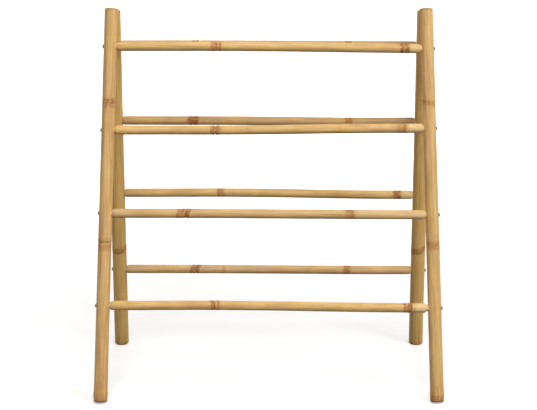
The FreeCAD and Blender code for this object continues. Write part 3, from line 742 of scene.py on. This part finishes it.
def cut_bamboo_material(name, culm):
    """Sawn or planed bamboo: pale pith with dark fibre bundles, denser towards the skin."""
    colours = bpy.context.scene.ladder_colours
    material, desk, surface, coordinates = new_material(name)
    place = turned_to(desk, coordinates, culm.start, culm.turn)
    x, y, _ = desk.split(place)
    cells = desk.node("ShaderNodeTexVoronoi")
    desk.feed(cells.inputs["Vector"], desk.vector("MULTIPLY", place, BUNDLE_STRETCH))
    cells.inputs["Scale"].default_value = BUNDLE_SCALE
    dense = desk.ramp(desk.hypotenuse(x, y), culm.radius - BUNDLE_DEPTH, culm.radius, *BUNDLE_SIZES)
    dots = desk.fade(desk.less(cells.outputs["Distance"], dense), *BUNDLE_EDGE)
    fibre = desk.grain(place, CUT_FIBRE)
    tone = desk.mix(desk.times(dots, BUNDLE_SHARE), colours.cut_bamboo, colours.bundle)
    tone = desk.mix(desk.times(desk.ramp(fibre, *CUT_FIBRE_LEVELS), CUT_FIBRE_SHARE), tone, colours.bundle)
    roughness = desk.add(CUT_ROUGHNESS, desk.times(fibre, CUT_FIBRE_ROUGHNESS))
    coat(desk, surface, tone, roughness, desk.add(dots, fibre), CUT_BUMP)
    return material


def wood_material(name, start, turn):
    """Turned hardwood with its grain along the piece and rings across its ends."""
    colours = bpy.context.scene.ladder_colours
    material, desk, surface, coordinates = new_material(name)
    place = turned_to(desk, coordinates, start, turn)
    x, y, _ = desk.split(place)
    out = desk.hypotenuse(desk.add(x, HEART_OFF), y)
    bend = desk.times(desk.grain(place, WOOD_BEND), RING_BEND)
    rings = desk.ramp(desk.math("SINE", desk.add(desk.times(out, RING_TURNS), bend)), *RING_LEVELS)
    parts = {"rings": rings, "fibre": desk.grain(place, WOOD_FIBRE), "pores": desk.grain(place, WOOD_PORES)}
    tone = desk.mix(desk.weigh(parts, WOOD_SHARES), colours.dowel, colours.dowel_grain)
    roughness = desk.add(WOOD_ROUGHNESS, desk.weigh(parts, WOOD_ROUGH_SHARES))
    coat(desk, surface, tone, roughness, desk.less(parts["fibre"], parts["pores"]), WOOD_BUMP)
    return material


def metal_material(name, plain, worn, brushed, rough):
    """Coated steel: clouded finish, fine scratches and rubbed places."""
    material, desk, surface, coordinates = new_material(name)
    clouds = desk.grain(coordinates, METAL_CLOUDS)
    parts = {
        "clouds": clouds,
        "clouded": desk.ramp(clouds, *CLOUD_LEVELS),
        "rubbed": desk.grain(coordinates, METAL_RUBS),
        "lines": desk.noise(coordinates, brushed, *LINE_NOISE),
    }
    surface["Metallic"].default_value = 1.0
    coat(desk, surface, desk.mix(desk.weigh(parts, METAL_SHARES), plain, worn),
         desk.add(rough, desk.weigh(parts, METAL_ROUGH_SHARES)), parts["lines"], METAL_BUMP)
    return material


def hump(place, middle, spread):
    """A smooth hump of height 1."""
    return math.exp(-((place - middle) / spread) ** 2)


class Culm:
    """The line, size and nodes of one length of bamboo."""

    def __init__(self, start, end, radius, tip_radius, nodes, face, bend=(), foot_swell=0.0):
        self.start = start
        self.length = (end - start).length
        self.along = (end - start).normalized()
        self.radius = radius
        self.tip_radius = tip_radius
        self.nodes = nodes
        self.bend = bend
        self.foot_swell = foot_swell
        self.turn = self.along.to_track_quat("Z", "Y").to_euler()
        seen = self.turn.to_matrix().transposed() @ Vector(face)
        front = math.atan2(seen.y, seen.x)
        self.bud_angles = [front + BUD_TURNS[index % 2] for index in range(len(nodes))]

    def end(self, side):
        """The middle of the culm's left or right end."""
        return self.start if side == "left" else self.start + self.along * self.length

    def radius_at(self, height):
        """Radius between nodes, with no swell."""
        return self.radius + (self.tip_radius - self.radius) * height / self.length

    def radius_beside(self, point):
        """Radius at the height of a point."""
        return self.radius_at((point - self.start).dot(self.along))

    def swell_at(self, height, sizes):
        """How far the foot and the nodes lift the skin at a height."""
        swell = self.foot_swell * hump(height / MM, *FOOT_HUMP)
        for node in self.nodes:
            off = (height - node.share * self.length) / MM
            lift = sum(share * hump(off, middle, spread) for middle, spread, share in NODE_HUMPS)
            swell += node.ridge * sizes.node_ridge * lift
            swell -= node.pinch * sizes.node_groove * hump(off, *PINCH_HUMP)
        return swell

    def stations(self, sizes, low, high):
        """(height, radius, x, y) of the skin's rings between two heights, closer together at the nodes."""
        heights = {low, high}
        if self.foot_swell:
            heights |= {step * MM for step in FOOT_STEPS if low < step * MM < high}
        for node in self.nodes:
            middle = node.share * self.length
            heights |= {middle + step * MM for step in NODE_STEPS if low < middle + step * MM < high}
        count = round((high - low) / sizes.ring_pitch)
        for index in range(1, count):
            height = low + (high - low) * index / count
            if all(abs(height - node.share * self.length) > NODE_CLEAR for node in self.nodes):
                heights.add(height)
        up = self.turn.to_matrix().transposed() @ Vector((0, 0, 1))
        rings = []
        for height in sorted(heights):
            waves = enumerate(self.bend, 1)
            rise = sum(size * MM * math.sin(count * math.pi * height / self.length) for count, size in waves)
            radius = self.radius_at(height) + self.swell_at(height, sizes)
            rings.append((height, radius, up.x * rise, up.y * rise))
        return rings


def deselect():
    """Leaves edit mode and selects nothing."""
    if bpy.context.object and bpy.context.object.mode != "OBJECT":
        bpy.ops.object.mode_set(mode="OBJECT")
    bpy.ops.object.select_all(action="DESELECT")


def pick(piece):
    """Selects one piece alone and makes it active."""
    deselect()
    piece.select_set(True)
    bpy.context.view_layer.objects.active = piece


def edge_turns(first):
    """Angles of the rings round a sanded edge."""
    return [math.pi / 2 * step / EDGE_STEPS for step in range(first, EDGE_STEPS)]


def draw_out(name, rings, sides):
    """A closed round form along +Z, extruded ring by ring."""
    deselect()
    height, radius, x, y = rings[0]
    bpy.ops.mesh.primitive_circle_add(vertices=sides, radius=radius, fill_type="NGON", location=(0, 0, 0))
    piece = bpy.context.object
    piece.name = piece.data.name = name
    bpy.ops.object.mode_set(mode="EDIT")
    bpy.ops.mesh.select_all(action="SELECT")
    bpy.ops.transform.translate(value=(x, y, height))
    for before, after in zip(rings, rings[1:]):
        step = (after[2] - before[2], after[3] - before[3], after[0] - before[0])
        bpy.ops.mesh.extrude_region_move(TRANSFORM_OT_translate={"value": step})
        grow = after[1] / before[1]
        bpy.ops.transform.resize(value=(grow, grow, 1.0), center_override=(after[2], after[3], after[0]))
    bpy.ops.mesh.select_all(action="SELECT")
    bpy.ops.mesh.normals_make_consistent(inside=False)
    bpy.ops.object.mode_set(mode="OBJECT")
    return piece


def raise_buds(piece, culm, sizes):
    """Pulls a small branch bud out of each node's upper ridge."""
    bpy.ops.object.mode_set(mode="EDIT")
    for node, angle in zip(culm.nodes, culm.bud_angles):
        height = node.share * culm.length + BUD_UP * MM
        if not BUD_END_ROOM < height < culm.length - BUD_END_ROOM:
            continue
        out = Vector((math.cos(angle), math.sin(angle), 0))
        spot = out * culm.radius_at(height) + Vector((0, 0, height))
        bpy.ops.mesh.select_all(action="DESELECT")
        cage = bmesh.from_edit_mesh(piece.data)
        nearest = min(cage.verts, key=lambda vert: (vert.co - spot).length_squared)
        nearest.select = True
        cage.select_flush_mode()
        bmesh.update_edit_mesh(piece.data)
        bpy.ops.transform.translate(
            value=out * BUD_LIFT * node.ridge * sizes.node_ridge, use_proportional_edit=True,
            proportional_edit_falloff="SMOOTH", proportional_size=BUD_REACH,
        )
    bpy.ops.object.mode_set(mode="OBJECT")


def roughen(piece, height, seed, level):
    """Low swells over the skin, as a grown stem has them."""
    texture = bpy.data.textures.new(piece.name + "_swells", "CLOUDS")
    texture.noise_scale = SWELL_SPAN
    texture.noise_depth = 1
    pick(piece)
    piece.location = [shift * seed for shift in SEED_SHIFTS]
    swells = piece.modifiers.new("Swells", "DISPLACE")
    swells.texture = texture
    swells.texture_coords = "GLOBAL"
    swells.strength = height
    swells.mid_level = level
    bpy.ops.object.modifier_apply(modifier=swells.name)
    piece.location = (0, 0, 0)
    bpy.data.textures.remove(texture)


def settle(piece, culm):
    """Turns a culm from +Z onto its own line and puts that into the mesh."""
    pick(piece)
    piece.rotation_euler = culm.turn
    piece.location = culm.start
    bpy.ops.object.transform_apply(location=True, rotation=True, scale=True)


def cut_away(piece, cutters):
    """Takes the joined cutters out of a piece; the new faces get the cutters' finish."""
    deselect()
    for cutter in cutters:
        cutter.select_set(True)
    bpy.context.view_layer.objects.active = cutters[0]
    bpy.ops.object.transform_apply(location=True, rotation=True, scale=True)
    bpy.ops.object.join()
    tool = bpy.context.object
    pick(piece)
    cut = piece.modifiers.new("Cut", "BOOLEAN")
    cut.operation = "DIFFERENCE"
    cut.solver = "EXACT"
    cut.material_mode = "TRANSFER"
    cut.object = tool
    bpy.ops.object.modifier_apply(modifier=cut.name)
    bpy.data.objects.remove(tool)


def finish_culm(piece, node, body):
    """Smooths a culm and lets it stand for its solid."""
    pick(piece)
    bpy.ops.object.shade_smooth_by_angle(angle=SMOOTH_ANGLE)
    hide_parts(node)
    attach(piece, body)


def pole_culm(side_frame, side):
    """The line of a pole."""
    foot, top, radius, tip_radius = POLE_LINES[side_frame]
    mirror = Vector((SIDES[side], 1, 1))
    return Culm(Vector(foot) * mirror, Vector(top) * mirror, radius, tip_radius, POLE_NODES[side_frame, side],
                POLE_FACING, foot_swell=FOOT_SWELLS[side_frame])


def rung_culm(side_frame, name):
    """The line of a rung between the middles of its two poles, through its dowels."""
    middles = []
    for side in SIDES:
        low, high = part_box(f"{side_frame}_{name}_rung_{side}_dowel")
        middles.append((low + high) / 2)
    ends = []
    for side in SIDES:
        pole = pole_culm(side_frame, side)
        on_rung, _ = intersect_line_line(*middles, pole.start, pole.start + pole.along)
        ends.append(on_rung)
    return Culm(*ends, RUNG_RADIUS, RUNG_RADIUS, RUNG_NODES[side_frame, name], RUNG_FACING,
                RUNG_BENDS[side_frame, name])


class LADDER_OT_model_poles(bpy.types.Operator):
    """Models the four bamboo poles"""

    bl_idname = "ladder.model_poles"
    bl_label = "Model poles"

    def execute(self, context):
        sizes = context.scene.ladder_sizes
        for seed, (side_frame, side) in enumerate(POLE_NODES, 1):
            culm = pole_culm(side_frame, side)
            cup = sizes.closed_cup if culm.nodes[0].share < CLOSED_FOOT_SHARE else sizes.open_cup
            piece = draw_out(f"{side_frame}_{side}_culm", self.rings(culm, sizes, cup), sizes.pole_sides)
            raise_buds(piece, culm, sizes)
            roughen(piece, sizes.unevenness, seed, POLE_SWELL_LEVEL)
            settle(piece, culm)
            tones = (*POLE_TONES[side_frame, side], *NO_SMUDGE)
            skin = bamboo_material(f"bamboo_{piece.name}", culm, tones, seed, POLE_CLOUDING, POLE_FOOT_STAIN)
            piece.data.materials.append(skin)
            cut_skin = cut_bamboo_material(f"cut_{piece.name}", culm)
            piece.data.materials.append(cut_skin)
            self.mark_ends(piece, culm)
            self.dress_foot(piece)
            cut_away(piece, self.cutters(side_frame, side, culm, sizes, cut_skin))
            finish_culm(piece, f"{side_frame}_{side}_pole", f"{side_frame}_frame")
        return {"FINISHED"}

    def rings(self, culm, sizes, cup):
        """Rings from the hollow under the foot, round its rim, up the skin and down into the top's bore."""
        bore = (culm.radius + culm.tip_radius) / 2 - sizes.pole_wall
        edge = sizes.end_round
        skin = culm.stations(sizes, edge, culm.length - edge)
        foot = culm.radius + culm.swell_at(edge, sizes)
        tip = culm.tip_radius
        top = culm.length
        floor = top - sizes.top_bore
        rim = bore + RIM_CHAMFER
        core = bore * HOLLOW_CORE
        rings = [(cup, core), (cup, bore * CUP_FLOOR), (cup * CUP_SIDE, bore), (RIM_CHAMFER, bore),
                 (0.0, rim), (0.0, foot - edge)]
        rings += [(edge * (1 - math.cos(a)), foot - edge * (1 - math.sin(a))) for a in edge_turns(1)]
        ends = [(top - edge * (1 - math.sin(a)), tip - edge * (1 - math.cos(a))) for a in edge_turns(1)]
        ends += [(top, tip - edge), (top, rim), (top - RIM_CHAMFER, bore), (floor, bore), (floor, core)]
        return [(*ring, 0, 0) for ring in rings] + skin + [(*ring, 0, 0) for ring in ends]

    def mark_ends(self, piece, culm):
        """Gives the sawn ends and the hollows the cut finish."""
        for face in piece.data.polygons:
            off = face.center - culm.start
            height = off.dot(culm.along)
            out = (off - culm.along * height).length
            face.material_index = int(out < culm.radius_at(height) - SKIN_DEPTH)

    def dress_foot(self, piece):
        """Planes the foot's low edge to stand flat on the floor."""
        bpy.ops.object.mode_set(mode="EDIT")
        bpy.ops.mesh.select_all(action="SELECT")
        bpy.ops.mesh.bisect(
            plane_co=(0, 0, 0), plane_no=(0, 0, 1), use_fill=True, clear_inner=True, threshold=WELD
        )
        bpy.ops.object.mode_set(mode="OBJECT")

    def cutters(self, side_frame, side, culm, sizes, finish):
        """The hinge flat and the screw seats of a pole."""
        lean = math.radians(POLE_LEANS[side_frame])
        turn = Euler((-lean, 0, 0 if side_frame == "front" else math.pi))
        tall = sizes.leaf_room + FLAT_OVERRUN
        middle = Vector((0, culm.tip_radius / 2 - sizes.flat_set, tall / 2 - sizes.leaf_room))
        leaf_low, leaf_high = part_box(f"{side}_hinge_{side_frame}_leaf")
        hinge = Vector(((leaf_low.x + leaf_high.x) / 2, HINGE_PIN.y, HINGE_PIN.z))
        deselect()
        bpy.ops.mesh.primitive_cube_add(size=1, location=hinge + turn.to_matrix() @ middle, rotation=turn)
        block = bpy.context.object
        block.scale = (FLAT_WIDTH * culm.radius, culm.tip_radius, tall)
        made = [block]
        for name in RUNG_NAMES:
            rung = rung_culm(side_frame, name)
            outward = rung.along * SIDES[side]
            joint = rung.end(side)
            off = math.sqrt(culm.radius_beside(joint) ** 2 - sizes.screw_seat**2) - SEAT_SINK + SEAT_CUT / 2
            deselect()
            bpy.ops.mesh.primitive_cylinder_add(
                vertices=SEAT_SIDES, radius=sizes.screw_seat, depth=SEAT_CUT, location=joint + outward * off,
                rotation=outward.to_track_quat("Z", "Y").to_euler(),
            )
            made.append(bpy.context.object)
        for cutter in made:
            cutter.data.materials.append(finish)
        return made


class LADDER_OT_model_rungs(bpy.types.Operator):
    """Models the eight bamboo rungs"""

    bl_idname = "ladder.model_rungs"
    bl_label = "Model rungs"

    def execute(self, context):
        sizes = context.scene.ladder_sizes
        for seed, (side_frame, name) in enumerate(RUNG_NODES, 11):
            culm = rung_culm(side_frame, name)
            ends = [self.end(side_frame, name, side, culm, sizes) for side in SIDES]
            rings = self.rings(culm, sizes, *ends)
            piece = draw_out(f"{side_frame}_{name}_rung_culm", rings, sizes.rung_sides)
            raise_buds(piece, culm, sizes)
            roughen(piece, sizes.unevenness, seed, RUNG_SWELL_LEVEL)
            settle(piece, culm)
            tones = RUNG_TONES[side_frame, name]
            skin = bamboo_material(f"bamboo_{piece.name}", culm, tones, seed, RUNG_CLOUDING)
            piece.data.materials.append(skin)
            piece.data.materials.append(cut_bamboo_material(f"cut_{piece.name}", culm))
            for face in piece.data.polygons:
                face.material_index = int(len(face.vertices) > 4)
            finish_culm(piece, f"{side_frame}_{name}_rung", f"{side_frame}_frame")
        return {"FINISHED"}

    def end(self, side_frame, name, side, culm, sizes):
        """A rung end's way from the middle of its pole, and the length and depth of its sanded edge."""
        radius = pole_culm(side_frame, side).radius_beside(culm.end(side))
        if (side_frame, name, side) == SHORT_END:
            return radius + sizes.short_gap, sizes.short_round, sizes.short_round
        return radius + sizes.rung_gap, *RUNG_END_ROUNDS[side_frame, side]

    def rings(self, culm, sizes, left, right):
        """Rings from one end to the other, with a sanded edge at both."""
        low, high = left[0], culm.length - right[0]
        skin = culm.stations(sizes, low + left[1], high - right[1])
        edges = []
        for end, inward, (_, span, depth), ring in ((low, 1, left, skin[0]), (high, -1, right, skin[-1])):
            _, radius, x, y = ring
            edges.append([(end + inward * span * (1 - math.cos(a)), radius - depth * (1 - math.sin(a)), x, y)
                          for a in edge_turns(0)])
        return edges[0] + skin + edges[1][::-1]


class LADDER_OT_finish_wood(bpy.types.Operator):
    """Gives the dowels and the top plugs their turned wood"""

    bl_idname = "ladder.finish_wood"
    bl_label = "Finish dowels and plugs"

    def execute(self, context):
        for side_frame in POLE_LINES:
            for name in RUNG_NAMES:
                rung = rung_culm(side_frame, name)
                dowel = wood_material(f"wood_{side_frame}_{name}_dowel", rung.start, rung.turn)
                for side in SIDES:
                    dress(f"{side_frame}_{name}_rung_{side}_dowel", dowel)
            for side in SIDES:
                pole = pole_culm(side_frame, side)
                plug = wood_material(f"wood_{side_frame}_{side}_plug", pole.start, pole.turn)
                dress(f"{side_frame}_{side}_top_plug", plug)
        return {"FINISHED"}


class LADDER_OT_finish_metal(bpy.types.Operator):
    """Gives the screws and the hinges their steel"""

    bl_idname = "ladder.finish_metal"
    bl_label = "Finish screws and hinges"

    def execute(self, context):
        colours = context.scene.ladder_colours
        oxide = metal_material("dark_oxide_steel", colours.screw, colours.screw_wear, *OXIDE_FINISH)
        zinc = metal_material("zinc_plated_steel", colours.zinc, colours.zinc_dull, *ZINC_FINISH)
        for node in frame["nodes"]:
            if node.endswith("rung_screws"):
                dress(node, oxide)
            elif "hinge" in node:
                dress(node, zinc)
        return {"FINISHED"}


def dress(node, material):
    """Puts one material on every slot of a CAD node."""
    piece = frame["nodes"][node]
    for slot in piece.material_slots:
        slot.material = material
    if not piece.material_slots:
        raise RuntimeError(f"{node} has no material slot")


class LADDER_OT_set_stage(bpy.types.Operator):
    """Sets the floor, the lamps and the camera"""

    bl_idname = "ladder.set_stage"
    bl_label = "Set the stage"

    def execute(self, context):
        stage = context.scene.ladder_stage
        context.scene.view_settings.view_transform = "Standard"
        self.floor(stage)
        for side, place in LAMP_PLACES.items():
            self.lamp(f"{side.capitalize()} lamp", place, getattr(stage, f"{side}_power"))
        self.room(context.scene, stage)
        deselect()
        bpy.ops.object.camera_add(location=stage.camera_at, rotation=(math.pi / 2 - stage.pitch, 0, 0))
        camera = context.object
        camera.data.sensor_width = SENSOR_WIDTH
        camera.data.lens = stage.lens
        camera.data.shift_y = stage.frame_shift
        context.scene.camera = camera
        return {"FINISHED"}

    def floor(self, stage):
        """A wide pale floor, white to the camera but for the ladder's shadow."""
        deselect()
        bpy.ops.mesh.primitive_plane_add(size=FLOOR_SIZE, location=(0, 0, -FLOOR_DROP))
        floor = bpy.context.object
        floor.name = "Floor"
        material, desk, surface, coordinates = new_material("Pale floor")
        speckle = desk.times(desk.grain(coordinates, FLOOR_SPECKLE), SPECKLE_SHARE)
        desk.feed(surface["Base Color"], desk.mix(speckle, stage.floor_tone, WHITE))
        surface["Roughness"].default_value = FLOOR_ROUGHNESS
        surface["Specular IOR Level"].default_value = FLOOR_GLOSS
        glow = desk.node("ShaderNodeEmission")
        desk.feed(glow.inputs["Strength"], desk.ramp(desk.vector("LENGTH", coordinates), *FLOOR_GLOW))
        both = desk.node("ShaderNodeAddShader")
        desk.fill(both.inputs, glow.outputs[0], surface["Base Color"].node.outputs[0])
        bounce = desk.node("ShaderNodeBsdfDiffuse")
        desk.feed(bounce.inputs["Color"], stage.floor_bounce)
        output = next(node for node in material.node_tree.nodes if node.type == "OUTPUT_MATERIAL")
        desk.feed(output.inputs["Surface"], desk.by_sight(bounce.outputs[0], both.outputs[0]))
        floor.data.materials.append(material)

    def lamp(self, name, place, power):
        """A soft square lamp that faces the middle of the ladder."""
        deselect()
        turn = (LAMP_AIM - Vector(place)).to_track_quat("-Z", "Y").to_euler()
        bpy.ops.object.light_add(type="AREA", location=place, rotation=turn)
        lamp = bpy.context.object
        lamp.name = name
        lamp.data.size = LAMP_SIZE
        lamp.data.energy = power

    def room(self, scene, stage):
        """An even room that the camera and shiny metal see as white."""
        world = bpy.data.worlds.new("White room")
        scene.world = world
        world.use_nodes = True
        world.node_tree.nodes.clear()
        desk = Desk(world.node_tree)
        light, white = (desk.node("ShaderNodeBackground") for _ in range(2))
        for background in (light, white):
            desk.feed(background.inputs["Color"], WHITE)
        light.inputs["Strength"].default_value = stage.room_light
        seen = desk.by_sight(light.outputs[0], white.outputs[0])
        desk.feed(desk.node("ShaderNodeOutputWorld").inputs["Surface"], seen)


class LADDER_PT_panel(bpy.types.Panel):
    """Steps that dress the ladder"""

    bl_idname = "LADDER_PT_panel"
    bl_label = "Towel ladder"
    bl_space_type = "VIEW_3D"
    bl_region_type = "UI"
    bl_category = "Ladder"

    def draw(self, context):
        for step in STEPS:
            self.layout.operator(step.bl_idname)
        for group in ("ladder_sizes", "ladder_colours", "ladder_stage"):
            settings = getattr(context.scene, group)
            box = self.layout.box()
            for name in settings.__annotations__:
                box.prop(settings, name)


STEPS = (LADDER_OT_model_poles, LADDER_OT_model_rungs, LADDER_OT_finish_wood, LADDER_OT_finish_metal,
         LADDER_OT_set_stage)
SETTINGS = {"ladder_sizes": LadderSizes, "ladder_colours": LadderColours, "ladder_stage": LadderStage}


def register():
    """Registers the settings, the steps and the panel."""
    for name, group in SETTINGS.items():
        bpy.utils.register_class(group)
        setattr(bpy.types.Scene, name, bpy.props.PointerProperty(type=group))
    for made in (*STEPS, LADDER_PT_panel):
        bpy.utils.register_class(made)


def unregister():
    """Takes back what register did."""
    for made in (LADDER_PT_panel, *reversed(STEPS)):
        bpy.utils.unregister_class(made)
    for name, group in SETTINGS.items():
        delattr(bpy.types.Scene, name)
        bpy.utils.unregister_class(group)


def main():
    """Dresses the ladder step by step."""
    register()
    bpy.ops.ladder.model_poles()
    bpy.ops.ladder.model_rungs()
    bpy.ops.ladder.finish_wood()
    bpy.ops.ladder.finish_metal()
    bpy.ops.ladder.set_stage()
    deselect()


if __name__ == "__main__":
    main()
